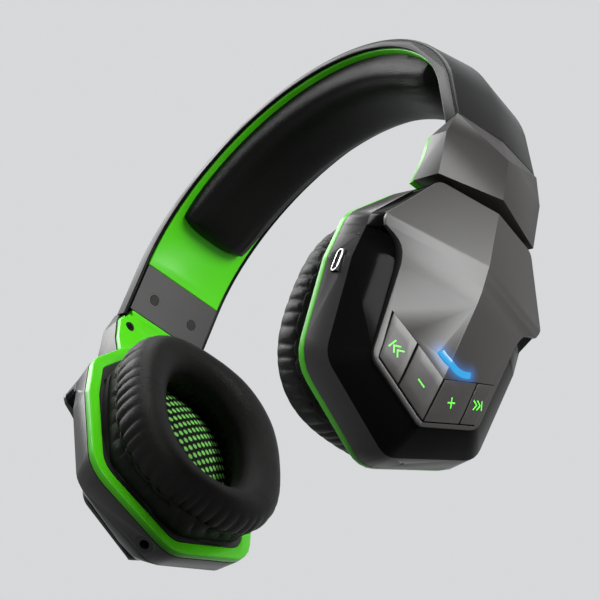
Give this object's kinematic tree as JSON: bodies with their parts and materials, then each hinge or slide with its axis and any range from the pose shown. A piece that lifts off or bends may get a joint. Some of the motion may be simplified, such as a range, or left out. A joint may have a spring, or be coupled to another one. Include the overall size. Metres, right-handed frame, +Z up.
{
  "type": "wireless over-ear headset",
  "caption": "Over-ear headset with a sprung padded headband, telescopic arms, tilting ear cups with pleated pads, control keys and sockets.",
  "frame": {"origin": "midway between the ears, on the line through both cup centres", "axes": "+Z up towards the crown, +Y forward, +X to the wearer's right"},
  "size_m": [0.1906, 0.0786, 0.1907],
  "materials": {
    "shell_dark": "glossy gunmetal",
    "neon_plastic": "glossy neon green",
    "piano_black": "piano black",
    "leatherette": "soft black, satin",
    "mesh": "black mesh with green dots",
    "steel": "satin",
    "screw_black": "black, satin",
    "nylon_black": "matt",
    "cable": "matt",
    "cone": "satin",
    "battery_wrap": "satin",
    "board": "satin",
    "switch_metal": "satin",
    "port_chrome": "polished",
    "light_blue": "translucent blue"
  },
  "bodies": {
    "band": {"band_shell": "shell_dark", "band_liner": "neon_plastic", "band_cushion": "leatherette", "spring_band": "steel", "cross_cable": "cable", "end_plate_left": "shell_dark", "end_plate_right": "shell_dark", "end_plate_screws": "screw_black", "slide_guide_left": "nylon_black", "slide_guide_right": "nylon_black"},
    "arm_left": {"arm_shell_left": "shell_dark", "slider_left": "neon_plastic", "slider_strip_left": "steel", "yoke_left": "steel", "arm_screws_left": "screw_black", "tilt_pin_left": "steel"},
    "arm_right": {"arm_shell_right": "shell_dark", "slider_right": "neon_plastic", "slider_strip_right": "steel", "yoke_right": "steel", "arm_screws_right": "screw_black", "tilt_pin_right": "steel"},
    "cup_left": {"cup_housing_left": "shell_dark", "cup_bezel_left": "piano_black", "cup_panel_left": "shell_dark", "rim_trim_left": "neon_plastic", "hinge_block_left": "nylon_black", "baffle_left": "nylon_black", "baffle_screws_left": "screw_black", "ear_pad_left": "leatherette", "ear_mesh_left": "mesh", "driver_frame_left": "nylon_black", "driver_cone_left": "cone", "driver_magnet_left": "steel", "battery_tray": "nylon_black", "battery": "battery_wrap", "jack_socket": "nylon_black"},
    "cup_right": {"cup_housing_right": "shell_dark", "cup_bezel_right": "piano_black", "cup_panel_right": "shell_dark", "rim_trim_right": "neon_plastic", "hinge_block_right": "nylon_black", "baffle_right": "nylon_black", "baffle_screws_right": "screw_black", "ear_pad_right": "leatherette", "ear_mesh_right": "mesh", "driver_frame_right": "nylon_black", "driver_cone_right": "cone", "driver_magnet_right": "steel", "main_board": "board", "switch_board": "board", "key_switches": "switch_metal", "usb_port": "port_chrome", "microphone": "switch_metal", "light_window": "light_blue"},
    "key_previous": {"key_previous": "shell_dark"},
    "key_minus": {"key_minus": "shell_dark"},
    "key_plus": {"key_plus": "shell_dark"},
    "key_next": {"key_next": "shell_dark"}
  },
  "joints": [
    {"name": "arm_slide_left", "type": "slide", "parent": "band", "child": "arm_left", "axis": [-0.2756, 0, -0.9613], "range_m": [0, 0.015]},
    {"name": "cup_tilt_left", "type": "hinge", "parent": "arm_left", "child": "cup_left", "pos_m": [-0.07747, 0, 0.03343], "axis": [0, 1, 0], "range_deg": [-6, 6]},
    {"name": "arm_slide_right", "type": "slide", "parent": "band", "child": "arm_right", "axis": [0.2756, 0, -0.9613], "range_m": [0, 0.015]},
    {"name": "cup_tilt_right", "type": "hinge", "parent": "arm_right", "child": "cup_right", "pos_m": [0.07747, 0, 0.03343], "axis": [0, 1, 0], "range_deg": [-6, 6]},
    {"name": "press_previous", "type": "slide", "parent": "cup_right", "child": "key_previous", "axis": [-0.9613, 0, 0.2756], "range_m": [0, 0.0006], "stiffness_N_per_m": 1500, "springref_m": -0.0005},
    {"name": "press_minus", "type": "slide", "parent": "cup_right", "child": "key_minus", "axis": [-0.9613, 0, 0.2756], "range_m": [0, 0.0006], "stiffness_N_per_m": 1500, "springref_m": -0.0005},
    {"name": "press_plus", "type": "slide", "parent": "cup_right", "child": "key_plus", "axis": [-0.9613, 0, 0.2756], "range_m": [0, 0.0006], "stiffness_N_per_m": 1500, "springref_m": -0.0005},
    {"name": "press_next", "type": "slide", "parent": "cup_right", "child": "key_next", "axis": [-0.9613, 0, 0.2756], "range_m": [0, 0.0006], "stiffness_N_per_m": 1500, "springref_m": -0.0005}
  ]
}
